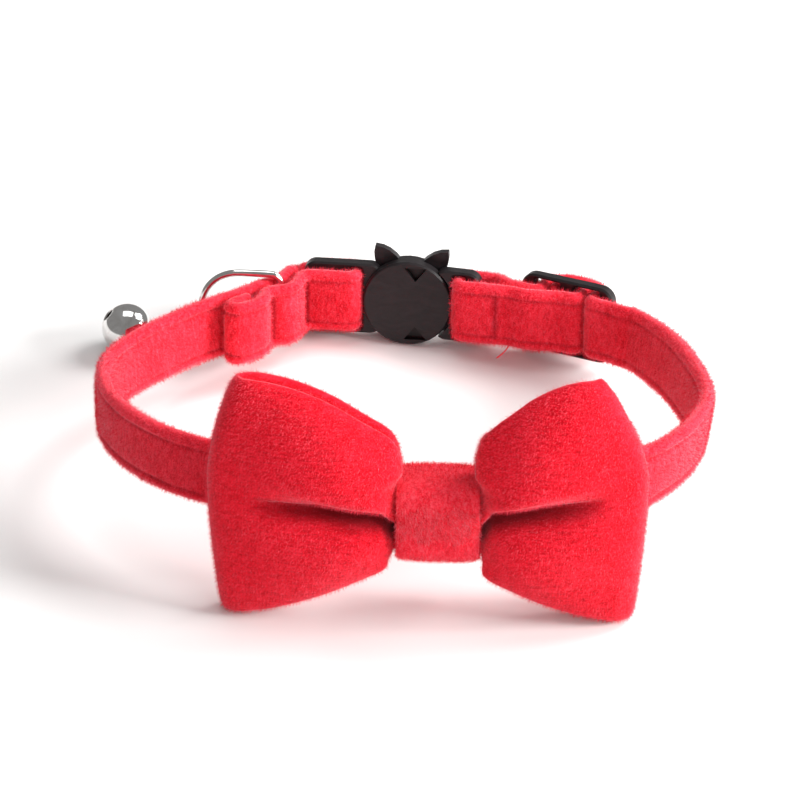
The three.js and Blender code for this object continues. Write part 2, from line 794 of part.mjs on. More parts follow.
function linkPoint() {
  const arc = dRingHeight / 2;
  const centre = dRingFrame.at(dRingReach - arc, 0);
  const middle = new THREE.Vector3(centre.x, centre.y, 0).applyMatrix4(leaning.matrixWorld);
  const below = Math.min((middle.z - bellRadius) / Math.cos(leaning.rotation.x) / arc, 0.9);
  const slope = Math.asin(below);
  const plan = dRingFrame.at(dRingReach - arc + arc * Math.cos(slope), 0);
  const at = new THREE.Vector3(plan.x, plan.y, -arc * below).applyMatrix4(leaning.matrixWorld);
  at.z = bellRadius;
  return { at, slope };
}

const link = linkPoint();
const linkRoom = ((dRingWire + jumpRingWire) / 2 + fitGap) / Math.cos(link.slope);
const ringCentre = link.at.clone().addScaledVector(chainWay, ringRadius - linkRoom);
const loopCentre = ringCentre.clone().addScaledVector(chainWay, ringRadius
  + loopRadius - (bellLoopWire + jumpRingWire) / 2 - fitGap);
const bellCentre = loopCentre.clone().addScaledVector(chainWay, bellRadius + loopRadius - bellWall / 2);

function jumpRing() {
  const geometry = mergeVertices(bareTorus(ringRadius, jumpRingWire / 2, 16));
  geometry.translate(ringCentre.x, ringCentre.y, ringCentre.z);
  return pieceMesh('jump_ring', geometry, nickel);
}

function bareTorus(radius, wire, sides) {
  const geometry = new THREE.TorusGeometry(radius, wire, 6, sides);
  geometry.deleteAttribute('normal');
  geometry.deleteAttribute('uv');
  return geometry;
}

function ball(radius, sides) {
  return new THREE.SphereGeometry(radius, sides, sides / 2);
}

// The bell's own axis points up to its loop, with a slot and two round holes below
function bell() {
  const loopRing = new THREE.TorusGeometry(loopRadius, bellLoopWire / 2, 6, 14);
  loopRing.rotateX(Math.PI / 2);
  loopRing.translate(0, 0, bellRadius + loopRadius - bellWall / 2);
  const shell = ball(bellRadius, 16);
  shell.rotateX(Math.PI / 2);
  const hollow = ball(bellRadius - bellWall, 16);
  hollow.rotateX(Math.PI / 2);
  const slotLength = bellDiameter * 0.62;
  const slot = new THREE.BoxGeometry(slotLength, bellSlotWidth, bellRadius);
  slot.translate(0, 0, -bellRadius);
  let body = solidOf(shell).add(solidOf(loopRing)).subtract(solidOf(hollow)).subtract(solidOf(slot));
  for (const way of [-1, 1]) {
    const hole = new THREE.CylinderGeometry(bellHoleDiameter / 2, bellHoleDiameter / 2, bellRadius, 12);
    hole.rotateX(Math.PI / 2);
    hole.translate(way * slotLength / 2, 0, -bellRadius * 0.9);
    body = body.subtract(solidOf(hole));
  }
  const geometry = geometryOf(body);
  geometry.rotateY(-Math.PI / 2);
  geometry.rotateZ(degrees(chainYaw));
  geometry.translate(bellCentre.x, bellCentre.y, bellCentre.z);
  return pieceMesh('bell', geometry, nickel);
}

function bellPellet() {
  const geometry = ball(pelletDiameter / 2, 12);
  const drop = bellRadius - bellWall - pelletDiameter / 2 - fitGap;
  geometry.deleteAttribute('normal');
  geometry.deleteAttribute('uv');
  geometry.translate(bellCentre.x, bellCentre.y, bellCentre.z - drop);
  return pieceMesh('bell_pellet', mergeVertices(geometry, 1e-4), nickel);
}

const collar = new THREE.Group();
collar.add(leaning, jumpRing(), bell(), bellPellet());
collar.updateMatrixWorld(true);
const box = new THREE.Box3().setFromObject(collar, true);
const middle = box.getCenter(new THREE.Vector3());
collar.position.set(-middle.x, -middle.y, -box.min.z);

export default collar;
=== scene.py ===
# Pet bow tie collar: red velvet strap, bow and knot, black buckle and slider, nickel rings and bell
import math
import bpy
import bmesh
from mathutils import Matrix, Vector


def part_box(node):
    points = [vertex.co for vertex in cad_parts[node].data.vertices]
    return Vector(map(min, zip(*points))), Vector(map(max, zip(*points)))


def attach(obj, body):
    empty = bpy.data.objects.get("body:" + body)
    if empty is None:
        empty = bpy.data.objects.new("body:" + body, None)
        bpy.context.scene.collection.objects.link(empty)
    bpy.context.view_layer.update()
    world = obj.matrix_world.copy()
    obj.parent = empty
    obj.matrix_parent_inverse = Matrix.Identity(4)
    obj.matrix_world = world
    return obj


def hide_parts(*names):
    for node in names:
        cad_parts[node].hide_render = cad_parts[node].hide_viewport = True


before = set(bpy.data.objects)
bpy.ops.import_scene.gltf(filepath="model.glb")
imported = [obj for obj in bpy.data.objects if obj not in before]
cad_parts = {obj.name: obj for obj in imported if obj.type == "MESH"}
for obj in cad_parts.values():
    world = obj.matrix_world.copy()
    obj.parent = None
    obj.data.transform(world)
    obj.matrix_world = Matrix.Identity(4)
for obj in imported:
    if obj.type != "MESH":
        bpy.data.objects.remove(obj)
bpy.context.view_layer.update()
mm = 0.001

# the collar leans forward on its bow: leanMatrix brings the flat layout to where the collar lies
lean = {"tilt": -9.9685, "lift": 19.0721, "shiftX": 0.8594, "shiftY": -30.5113}
leanMatrix = (Matrix.Translation(Vector((lean["shiftX"], lean["shiftY"], lean["lift"])) * mm)
              @ Matrix.Rotation(math.radians(lean["tilt"]), 4, "X"))
flatMatrix = leanMatrix.inverted()


# camera, floor and lights
studio = {
    "aim": (0.86, 1.02, 12.0),
    "cameraAt": (21.2, -483.98, 364.7),
    "focalPixels": 3780,
    "frameWidth": 800,
    "floorSize": 6.0,
    "floorColor": (0.96, 0.957, 0.955),
    "worldColor": (1.0, 0.99, 0.98, 1),
    "worldStrength": 0.27,
    "lightAim": (0, 0, 0.01),
}


def addCamera():
    data = bpy.data.cameras.new("camera")
    data.sensor_width = 36
    data.lens = studio["focalPixels"] / studio["frameWidth"] * data.sensor_width
    data.clip_start = 0.01
    camera = bpy.data.objects.new("camera", data)
    bpy.context.collection.objects.link(camera)
    at = Vector(studio["cameraAt"]) * mm
    camera.location = at
    camera.rotation_euler = (Vector(studio["aim"]) * mm - at).to_track_quat("-Z", "Y").to_euler()
    bpy.context.scene.camera = camera


def addLight(name, at, size, watts, color=(1, 1, 1)):
    data = bpy.data.lights.new(name, "AREA")
    data.shape = "RECTANGLE"
    data.size, data.size_y = size
    data.energy = watts
    data.color = color
    light = bpy.data.objects.new(name, data)
    bpy.context.collection.objects.link(light)
    light.location = at
    light.rotation_euler = (Vector(studio["lightAim"]) - Vector(at)).to_track_quat("-Z", "Y").to_euler()


addCamera()
# metres and watts
warmWhite = (1.0, 0.99, 0.98)
addLight("keySoftbox", (0.55, 0.30, 0.60), (0.36, 0.36), 5.0, warmWhite)
addLight("topPanel", (0.0, 0.25, 0.85), (0.55, 0.40), 2.0)
addLight("sidePanel", (0.95, -0.15, 0.38), (0.36, 0.36), 16.0, warmWhite)
addLight("frontPanel", (0.55, -0.70, 0.48), (0.50, 0.40), 2.4, warmWhite)
world = bpy.data.worlds.new("studioWhite")
bpy.context.scene.world = world
world.use_nodes = True
world.node_tree.nodes["Background"].inputs["Color"].default_value = studio["worldColor"]
world.node_tree.nodes["Background"].inputs["Strength"].default_value = studio["worldStrength"]
bpy.context.scene.view_settings.view_transform = "Standard"
print("camera and lights placed")


# materials
class Nodes:
    # short calls for a material's node tree
    def __init__(self, name):
        self.material = bpy.data.materials.new(name)
        self.material.use_nodes = True
        self.tree = self.material.node_tree
        self.shader = self.tree.nodes["Principled BSDF"]
        self.coords = self.tree.nodes.new("ShaderNodeTexCoord").outputs["Object"]

    def add(self, kind, **settings):
        node = self.tree.nodes.new(kind)
        for key, value in settings.items():
            setattr(node, key, value)
        return node

    def link(self, source, target):
        self.tree.links.new(source, target)

    def mapping(self, scale, turn=(0, 0, 0)):
        node = self.add("ShaderNodeMapping")
        node.inputs["Scale"].default_value = scale
        node.inputs["Rotation"].default_value = [math.radians(a) for a in turn]
        self.link(self.coords, node.inputs["Vector"])
        return node.outputs["Vector"]

    def noise(self, vector, scale, detail=2, roughness=0.5, distortion=0):
        node = self.add("ShaderNodeTexNoise")
        node.inputs["Scale"].default_value = scale
        node.inputs["Detail"].default_value = detail
        node.inputs["Roughness"].default_value = roughness
        node.inputs["Distortion"].default_value = distortion
        self.link(vector, node.inputs["Vector"])
        return node.outputs["Fac"]

    def ramp(self, value, stops):
        node = self.add("ShaderNodeValToRGB")
        while len(node.color_ramp.elements) < len(stops):
            node.color_ramp.elements.new(0.5)
        for element, (place, color) in zip(node.color_ramp.elements, stops):
            element.position = place
            element.color = (*color, 1)
        self.link(value, node.inputs["Fac"])
        return node.outputs["Color"]

    def mix(self, factor, first, second, blend="MIX"):
        node = self.add("ShaderNodeMix", data_type="RGBA", blend_type=blend)
        if isinstance(factor, float):
            node.inputs["Factor"].default_value = factor
        else:
            self.link(factor, node.inputs["Factor"])
        self.link(first, node.inputs["A"])
        if isinstance(second, tuple):
            node.inputs["B"].default_value = (*second, 1)
        else:
            self.link(second, node.inputs["B"])
        return node.outputs["Result"]

    def bump(self, height, strength, distance, before=None):
        node = self.add("ShaderNodeBump")
        node.inputs["Strength"].default_value = strength
        node.inputs["Distance"].default_value = distance
        self.link(height, node.inputs["Height"])
        if before:
            self.link(before, node.inputs["Normal"])
        return node.outputs["Normal"]

    def roughness(self, value, low, high):
        node = self.add("ShaderNodeMapRange")
        node.inputs["To Min"].default_value = low
        node.inputs["To Max"].default_value = high
        self.link(value, node.inputs["Value"])
        self.link(node.outputs["Result"], self.shader.inputs["Roughness"])

    def set(self, **values):
        for key, value in values.items():
            self.shader.inputs[key.replace("_", " ")].default_value = value


velvetLook = {
    "streakScale": 1900,      # per metre, across the pile
    "patchScale": 150,
    "grainScale": 4200,
    "weaveScale": 620,
    "sheenTint": (1.0, 0.52, 0.62, 1),
    # painted shade: a near-black red laid in stitch grooves, upright seams and along the bow's creases
    "paintedShadeTone": (0.10, 0.001, 0.003),
    "patchShare": 0.3,        # of the color: the rest is streaks
    "grainShare": 0.38,
    "streakBump": (0.35, 0.0003),
    "grainBump": (0.3, 0.00014),
    "patchBump": (0.15, 0.0006),
}
# palettes of one and the same velvet, with painted light in them: the strap's and the knot's are lighter than
# the bow's, as painted light for the strap's well-lit inner faces and for the knot that the right wing shades
# from the side lamp; the tufts' is lighter, partly their own paler colour and partly painted light against
# the shade the blades cast on each other; the pile blades' ('nap') is lighter as painted sheen that makes the
# rims glow pink
velvetShades = {
    "strap": {"deep": (0.55, 0.003, 0.012), "plain": (0.86, 0.014, 0.036), "light": (1.0, 0.075, 0.120)},
    "bow": {"deep": (0.50, 0.001, 0.007), "plain": (0.80, 0.004, 0.018), "light": (0.98, 0.030, 0.062)},
    "knot": {"deep": (0.72, 0.005, 0.018), "plain": (1.0, 0.028, 0.058), "light": (1.0, 0.130, 0.190)},
    "tuft": {"deep": (0.90, 0.060, 0.100), "plain": (1.0, 0.180, 0.240), "light": (1.0, 0.360, 0.430)},
    "nap": {"deep": (0.66, 0.004, 0.016), "plain": (0.96, 0.034, 0.070), "light": (1.0, 0.210, 0.280)},
}


def velvetMaterial(name, shades, stretch, turn=(0, 0, 0), patch=1.0, sheen=1.0, weave=0.0):
    look = velvetLook
    shade = velvetShades[shades]
    nodes = Nodes(name)
    along = nodes.mapping(stretch, turn)
    even = nodes.mapping((1, 1, 1))
    streaks = nodes.noise(along, look["streakScale"], 3, 0.6, 0.3)
    patches = nodes.noise(even, look["patchScale"] * patch, 3, 0.55, 0.6)
    grain = nodes.noise(even, look["grainScale"], 2, 0.6)

    def shaded(value, deep, plain, light):
        return nodes.ramp(value, [(deep, shade["deep"]), (plain, shade["plain"]), (light, shade["light"])])

    fineColor = shaded(streaks, 0.36, 0.5, 0.66)
    patchColor = shaded(patches, 0.34, 0.48, 0.68)
    grainColor = shaded(grain, 0.38, 0.5, 0.62)
    color = nodes.mix(look["grainShare"], nodes.mix(look["patchShare"], fineColor, patchColor), grainColor)
    if weave:
        # rows of the ground weave that show through where the pile is short
        for way in ("X", "Z"):
            rows = nodes.add("ShaderNodeTexWave", bands_direction=way)
            rows.inputs["Scale"].default_value = look["weaveScale"]
            rows.inputs["Distortion"].default_value = 5
            rows.inputs["Detail"].default_value = 3
            rows.inputs["Detail Scale"].default_value = 0.4
            nodes.link(even, rows.inputs["Vector"])
            line = nodes.ramp(rows.outputs["Fac"], [(0.0, (1 - weave,) * 3), (0.35, (1, 1, 1))])
            color = nodes.mix(1.0, color, line, "MULTIPLY")
    # painted shade: where the 'seam' attribute is set, the colour is mixed towards the painted shade tone
    seam = nodes.add("ShaderNodeAttribute", attribute_name="seam").outputs["Fac"]
    nodes.link(nodes.mix(seam, color, look["paintedShadeTone"]), nodes.shader.inputs["Base Color"])
    pile = nodes.bump(streaks, *look["streakBump"])
    fuzz = nodes.bump(grain, *look["grainBump"], pile)
    nodes.link(nodes.bump(patches, *look["patchBump"], fuzz), nodes.shader.inputs["Normal"])
    nodes.set(Roughness=0.95, Sheen_Weight=sheen, Sheen_Roughness=0.4, Sheen_Tint=look["sheenTint"])
    nodes.shader.inputs["Specular IOR Level"].default_value = 0.1
    return nodes.material


plasticLook = {
    "dark": (0.010, 0.008, 0.009),
    "worn": (0.019, 0.015, 0.017),
    # painted shade for the floors of the disc's recesses
    "recess": (0.001, 0.001, 0.001),
    "grainScale": 3400,
    "flowScale": 260,
    "roughness": (0.34, 0.5),
    "grainBump": (0.16, 0.0001),
}


def plasticMaterial():
    look = plasticLook
    nodes = Nodes("blackPlastic")
    grain = nodes.noise(nodes.mapping((1, 1, 1)), look["grainScale"], 2, 0.5)
    flow = nodes.noise(nodes.mapping((1, 1, 2.5)), look["flowScale"], 3, 0.6, 1.2)
    color = nodes.ramp(flow, [(0.35, look["dark"]), (0.8, look["worn"])])
    # painted shade: near black on the floors of the disc's recesses
    recess = nodes.add("ShaderNodeAttribute", attribute_name="recess").outputs["Fac"]
    nodes.link(nodes.mix(recess, color, look["recess"]), nodes.shader.inputs["Base Color"])
    nodes.roughness(flow, *look["roughness"])
    nodes.link(nodes.bump(grain, *look["grainBump"]), nodes.shader.inputs["Normal"])
    nodes.shader.inputs["Specular IOR Level"].default_value = 0.3
    return nodes.material


nickelLook = {
    "dull": (0.66, 0.64, 0.62),
    "bright": (0.84, 0.83, 0.82),
    "smearScale": 420,
    "roughness": (0.07, 0.16),
    "smearBump": (0.04, 0.0002),
}


def nickelMaterial():
    look = nickelLook
    nodes = Nodes("polishedNickel")
    smear = nodes.noise(nodes.mapping((1, 1, 1)), look["smearScale"], 3, 0.6, 0.6)
    color = nodes.ramp(smear, [(0.3, look["dull"]), (0.7, look["bright"])])
    nodes.link(color, nodes.shader.inputs["Base Color"])
    nodes.roughness(smear, *look["roughness"])
    nodes.link(nodes.bump(smear, *look["smearBump"]), nodes.shader.inputs["Normal"])
    nodes.set(Metallic=1.0)
    return nodes.material


def floorMaterial():
    nodes = Nodes("paleTable")
    mottle = nodes.noise(nodes.mapping((1, 1, 1)), 18, 2, 0.5)
    shade = studio["floorColor"]
    nodes.link(nodes.ramp(mottle, [(0.3, [c * 0.99 for c in shade]), (0.7, shade)]),
               nodes.shader.inputs["Base Color"])
    nodes.set(Roughness=0.8)
    nodes.shader.inputs["Specular IOR Level"].default_value = 0.2
    return nodes.material


strapVelvet = velvetMaterial("strapVelvet", "strap", (1, 1, 0.3), (lean["tilt"], 0, 0), 1.4)
bowVelvet = velvetMaterial("bowVelvet", "bow", (0.3, 1, 1), (0, 14, 0), 0.7, sheen=0.85, weave=0.09)
knotVelvet = velvetMaterial("knotVelvet", "knot", (1, 1, 0.35), (0, 8, 0), 1.8)
tuftVelvet = velvetMaterial("tuftVelvet", "tuft", (0.4, 1, 1), (0, 0, 0), 2.5, sheen=0.1)
napVelvet = velvetMaterial("napVelvet", "nap", (1, 1, 1), (0, 0, 0), 1.0, sheen=0.35)
blackPlastic = plasticMaterial()
nickel = nickelMaterial()
print("materials made")


# helpers
def newPiece(name, bm, material, smooth=True):
    mesh = bpy.data.meshes.new(name)
    bm.to_mesh(mesh)
    bm.free()
    for face in mesh.polygons:
        face.use_smooth = smooth
    piece = bpy.data.objects.new(name, mesh)
    bpy.context.collection.objects.link(piece)
    mesh.materials.append(material)
    return piece


def copyOf(node, joinAngle=60):
    # a node's solid with its corners shared and its triangles joined in pairs
    bm = bmesh.new()
    bm.from_mesh(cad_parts[node].data)
    bmesh.ops.remove_doubles(bm, verts=bm.verts, dist=1e-7)
    bmesh.ops.join_triangles(bm, faces=bm.faces, angle_face_threshold=math.radians(joinAngle),
                             angle_shape_threshold=math.radians(80))
    return bm


def applied(piece):
    # the piece's mesh with its modifiers worked in
    graph = bpy.context.evaluated_depsgraph_get()
    mesh = bpy.data.meshes.new_from_object(piece.evaluated_get(graph))
    piece.modifiers.clear()
    old = piece.data
    piece.data = mesh
    bpy.data.meshes.remove(old)
    return piece


def subdivided(piece, levels):
    modifier = piece.modifiers.new("subdivision", "SUBSURF")
    modifier.levels = modifier.render_levels = levels
    return modifier


def settle(piece, slot, *nodes):
    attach(piece, "root")
    if nodes:
        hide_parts(*nodes)
    return piece


# strap
strapShape = {
    "levels": 1,
    "halfWidth": 5.4,
    "groove": 1.7,               # from the strap's edge to its line of stitches
    "grooveHalf": 0.4,
    "grooveDepth": 0.42,
    "grooveSlope": (1.1, 0.9),   # cuts that hold the cloth level inside and outside the stitches
    "crown": 1.6,                # cuts that hold the middle level
    "stitch": 2.6,
    "alwaysPulled": 0.35,        # shares of a groove's depth: along all of it, at each stitch, unevenly
    "stitchPull": 0.4,
    "unevenPull": 0.25,
    "nap": 0.1,                  # how far the velvet's ground stands off the tape
    "puff": 0.16,                # of the rim beyond the stitches and of the middle
    "seamCuts": (-2.5, -1, 0, 1, 2.5),   # across an upright seam, in half grooves
    "seamSpread": 1.3,           # how far beside an upright seam the cloth is pulled in
    "shade": 0.42,               # painted shade of a groove, by its depth, up to the darkest
    "darkest": 0.85,
}
# upright seams through the tab and the buckle's layer: a point in the flat layout and its reach
strapSeams = [
    {"at": (-22.3, 58.5), "way": (0.62, 0.78), "reach": 1.9, "half": 0.7, "depth": 1.7},
    {"at": (-17.0, 65.1), "way": (0.75, 0.66), "reach": 1.9, "half": 0.7, "depth": 1.9},
    {"at": (14.6, 61.9), "way": (0.97, -0.22), "reach": 1.6, "half": 0.45, "depth": 0.9},
    {"at": (36.9, 56.2), "way": (0.9, -0.43), "reach": 2.2, "half": 0.45, "depth": 1.0},
]


def cutAcross(bm, at, way, reach):
    # cuts beside each other through the faces round a point, square to the strap
    near = [face for face in bm.faces if (face.calc_center_median().xy - at).length < reach + 3 * mm]
    for side in strapShape["seamCuts"]:
        geom = set(near)
        geom.update(edge for face in near for edge in face.edges)
        geom.update(vert for face in near for vert in face.verts)
        cut = bmesh.ops.bisect_plane(bm, geom=list(geom), dist=1e-6,
                                     plane_co=(*(at + way * side * strapShape["grooveHalf"] * mm), 0),
                                     plane_no=(*way, 0))
        near = [item for item in cut["geom"] if isinstance(item, bmesh.types.BMFace)]


def makeStrap():
    shape = strapShape
    bm = copyOf("strap")
    bmesh.ops.transform(bm, matrix=flatMatrix, verts=bm.verts)
    line = shape["halfWidth"] - shape["groove"]
    inside, outside = shape["grooveSlope"]
    cuts = [0, shape["crown"], line - inside, line - shape["grooveHalf"], line, line + shape["grooveHalf"],
            line + outside]
    for cut in cuts:
        for side in ([1] if cut == 0 else [1, -1]):
            bmesh.ops.bisect_plane(bm, geom=bm.verts[:] + bm.edges[:] + bm.faces[:], dist=1e-6,
                                   plane_co=(0, 0, side * cut * mm), plane_no=(0, 0, 1))
    for seam in strapSeams:
        cutAcross(bm, Vector(seam["at"]) * mm, Vector(seam["way"]).normalized(), seam["reach"] * mm)
    bm.normal_update()
    # painted shade in the stitch grooves and upright seams, kept in the 'seam' attribute
    paintedShade = bm.verts.layers.float.new("seam")
    pushed = []
    for vert in bm.verts:
        depth = 0.0
        if abs(vert.normal.z) < 0.5:
            off = (abs(vert.co.z) / mm - line) / shape["grooveHalf"]
            if abs(off) < 0.5:
                # the walk grows along the strap, and the stitches pull in unevenly
                walk = (vert.co.x * 0.9 + vert.co.y * 0.7) / mm
                stitch = 0.5 + 0.5 * math.sin(2 * math.pi * walk / shape["stitch"])
                uneven = 0.5 + 0.5 * math.sin(walk * 0.61 + 2 * math.sin(walk * 0.23))
                depth = shape["alwaysPulled"] + shape["stitchPull"] * stitch + shape["unevenPull"] * uneven
            for seam in strapSeams:
                away = (vert.co.xy - Vector(seam["at"]) * mm) / mm
                off = away.dot(Vector(seam["way"]).normalized())
                beside = away.length < seam["reach"] and abs(off) < shape["seamSpread"]
                if beside and abs(vert.co.z) < (line + 0.1) * mm:
                    depth = max(depth, seam["depth"] * math.exp(-(off / seam["half"]) ** 2))
        if depth:
            pushed.append((vert, vert.normal.copy(), depth))
    for vert in bm.verts:
        walk = (vert.co.x + vert.co.y) / mm
        swell = shape["puff"] * (0.6 + 0.4 * math.sin(walk * 0.9 + 3 * math.sin(vert.co.z / mm + walk * 0.2)))
        vert.co += vert.normal * (shape["nap"] + swell) * mm
    # the grooves are pressed in, and painted shade is laid in them by their depth
    for vert, normal, depth in pushed:
        vert.co -= normal * depth * shape["grooveDepth"] * mm
        vert[paintedShade] = min(shape["shade"] * depth, shape["darkest"])
    bmesh.ops.transform(bm, matrix=leanMatrix, verts=bm.verts)
    piece = newPiece("velvetStrap", bm, strapVelvet)
    subdivided(piece, shape["levels"])
    return settle(piece, "velvet", "strap")


strap = makeStrap()
print("strap made")


# bow
bowMiddle = -3.6      # the plane between the bow's two layers, in the flat layout
bowShape = {
    "levels": 2,
    "fill": 0.6,
    "overhang": 0.9,         # how far the upper lobes stand out over the crease
    "overhangReach": 2.4,
    "droop": 0.35,
    "creaseDepth": 1.5,
    "creaseHalf": 1.3,
    "creaseOff": 0.9,        # how far below its line the crease is deepest, and above it the overhang
    "lineBelow": 0.2,        # how far below its line the painted shade begins to fade upwards
    "shadeAbove": 0.6,
    "shadeDeep": 1.7,
    "shadeBelow": 1.4,
    "paintedCreaseShade": 0.85,
    "middle": 7,             # across the bow, between the wings
    "backPlane": -4.3,
    "backDrop": 2.2,         # how much lower the right wing's back layer ends at its top
    "frontRise": 1.5,        # and how much higher its front layer ends
    "topFrom": 14,           # where that begins and ends across the wing, and over what lengths
    "topFadeIn": 3,
    "topTo": 36,
    "topFadeOut": 4,
    "topHeight": 16,
    "knotEdges": (0.9, 13.7),
    "innerSwell": 1.5,       # how far the lobes bulge towards the knot, above and below it
    "swellPeak": 1.2,        # from the knot's edge
    "swellReach": 2.6,
    "swellAbove": 2.8,
    "swellBelow": -9.8,
    "swellFade": 2,
    "lowerSwell": 0.6,       # of the lower lobes, as a share of the upper ones'
}
# the crease that leaves the knot on each side, across and up in the flat layout
leftCrease = [(0.9, -3.4), (-1.3, -1.2), (-3.5, -0.65), (-6.8, -0.2),
              (-10.7, 0.7), (-15.1, 1.0), (-21.5, 1.6)]
rightCrease = [(13.7, -3.4), (15.6, -0.5), (17.5, 0.15), (20.4, 0.8),
               (23.8, 1.5), (27.7, 2.3), (33.0, 3.2)]


def creaseAt(x):
    # the crease's height at a place across the bow, and how strong it is there
    line = leftCrease if x < bowShape["middle"] else rightCrease
    far = abs(line[-1][0] - line[0][0])
    for (x0, z0), (x1, z1) in zip(line, line[1:]):
        if min(x0, x1) <= x <= max(x0, x1):
            part = (x - x0) / (x1 - x0)
            away = abs(x - line[0][0]) / far
            return z0 + part * (z1 - z0), 1 - away ** 3
    return 0, 0


def makeBow():
    shape = bowShape
    piece = newPiece("velvetBow", copyOf("bow"), bowVelvet)
    subdivided(piece, shape["levels"])
    applied(piece)
    bm = bmesh.new()
    bm.from_mesh(piece.data)
    bmesh.ops.transform(bm, matrix=flatMatrix, verts=bm.verts)
    bm.normal_update()
    # painted shade along each crease and under its overhanging lobe, kept in the 'seam' attribute
    paintedShade = bm.verts.layers.float.new("seam")
    for vert in bm.verts:
        x, y, z = vert.co / mm
        # the right wing's top: its front layer stands over its back one
        if x > shape["topFrom"] and z > 0:
            near = min(1, max(0, (shape["topTo"] - x) / shape["topFadeOut"]))
            near *= min(1, (x - shape["topFrom"]) / shape["topFadeIn"])
            near *= min(1, z / shape["topHeight"]) ** 2
            vert.co.z += (shape["frontRise"] if y < shape["backPlane"] else -shape["backDrop"]) * near * mm
        # the lobes beside the knot
        side = 1 if x < shape["middle"] else -1
        edge = shape["knotEdges"][0 if side == 1 else 1]
        beside = math.exp(-((abs(x - edge) - shape["swellPeak"]) / shape["swellReach"]) ** 2)
        level = min(1, max(0, (z - shape["swellAbove"]) / shape["swellFade"]))
        level += shape["lowerSwell"] * min(1, max(0, (shape["swellBelow"] - z) / shape["swellFade"]))
        if side * (edge - x) > 0.3:
            vert.co.x += side * shape["innerSwell"] * beside * level * mm
        # the crease, the upper lobe that hangs over it, and painted shade along the crease and under the
        # overhang
        height, strength = creaseAt(x)
        if vert.co.y > bowMiddle * mm or vert.normal.y > 0.3 or not strength:
            continue
        off = vert.co.z / mm - height
        hung = 0
        if off > -shape["lineBelow"]:
            faded = (off + shape["lineBelow"]) / shape["shadeAbove"]
            hung = math.exp(-((off - shape["creaseOff"]) / shape["overhangReach"]) ** 2)
        else:
            faded = max(0, -off - shape["shadeDeep"]) / shape["shadeBelow"]
        vert[paintedShade] = shape["paintedCreaseShade"] * strength * math.exp(-faded ** 2)
        pressed = math.exp(-((off + shape["creaseOff"]) / shape["creaseHalf"]) ** 2)
        vert.co.y += (shape["creaseDepth"] * pressed - shape["overhang"] * hung) * strength * mm
        vert.co.z -= shape["droop"] * hung * strength * mm
    bmesh.ops.transform(bm, matrix=leanMatrix, verts=bm.verts)
    bm.to_mesh(piece.data)
    bm.free()
    return settle(piece, "velvet", "bow")


bow = makeBow()
print("bow made")


# knot
knotLevels = 3


def makeKnot():
    piece = newPiece("velvetKnot", copyOf("knot"), knotVelvet)
    subdivided(piece, knotLevels)
    return settle(piece, "velvet", "knot")


knot = makeKnot()
print("knot made")


# pile: short thin blades that stand on the velvet, lean with its nap and stray a little
pileShape = {
    "bowPile": {"perSquareMm": 24, "length": 0.6, "width": 0.055,
                "nap": (-0.4, -0.1, -0.5), "lie": 0.8, "wild": 0.5},
    "strapPile": {"perSquareMm": 20, "length": 0.65, "width": 0.07,
                  "nap": (0.1, 0.0, -0.6), "lie": 0.4, "wild": 0.7},
    "knotPile": {"perSquareMm": 40, "length": 0.6, "width": 0.07,
                 "nap": (0.2, -0.1, -0.5), "lie": 0.5, "wild": 0.7},
    "knotTufts": {"perSquareMm": 24, "length": 0.75, "width": 0.09,
                  "nap": (0.6, -0.2, -0.7), "lie": 0.8, "wild": 0.6},
}
bladeScale = (0.55, 1.25)
# the band of longer tufts on the knot's front, lighter partly in their own colour and partly as painted light
# against their own shade, from low to high in metres
tuftBand = {"low": 0.0150, "high": 0.0205, "ragged": 0.0007, "raggedWave": 1400, "facing": -0.4}
# a face of the bow is on its outside when it looks away from the middle, or lies on a rim
outerFace = {"inside": -0.15, "rim": 0.35}


def makeBlade(name, length, width, material):
    bm = bmesh.new()
    tip = bmesh.ops.create_circle(bm, cap_ends=True, segments=3, radius=width / 2)["verts"]
    bmesh.ops.rotate(bm, cent=(0, 0, 0), matrix=Matrix.Rotation(math.pi / 2, 3, "X"), verts=tip)
    highest = max(tip, key=lambda vert: vert.co.z)
    for vert in tip:
        vert.co.z = length if vert is highest else 0
    return newPiece(name, bm, material)


def skinOf(piece, keep):
    # the piece's finished surface, or the part of it whose faces pass the test
    graph = bpy.context.evaluated_depsgraph_get()
    bm = bmesh.new()
    bm.from_mesh(piece.evaluated_get(graph).to_mesh())
    bm.normal_update()
    out = [face for face in bm.faces if not keep(face.calc_center_median(), face.normal)]
    bmesh.ops.delete(bm, geom=out, context="FACES")
    return newPiece(piece.name + "Skin", bm, piece.data.materials[0])


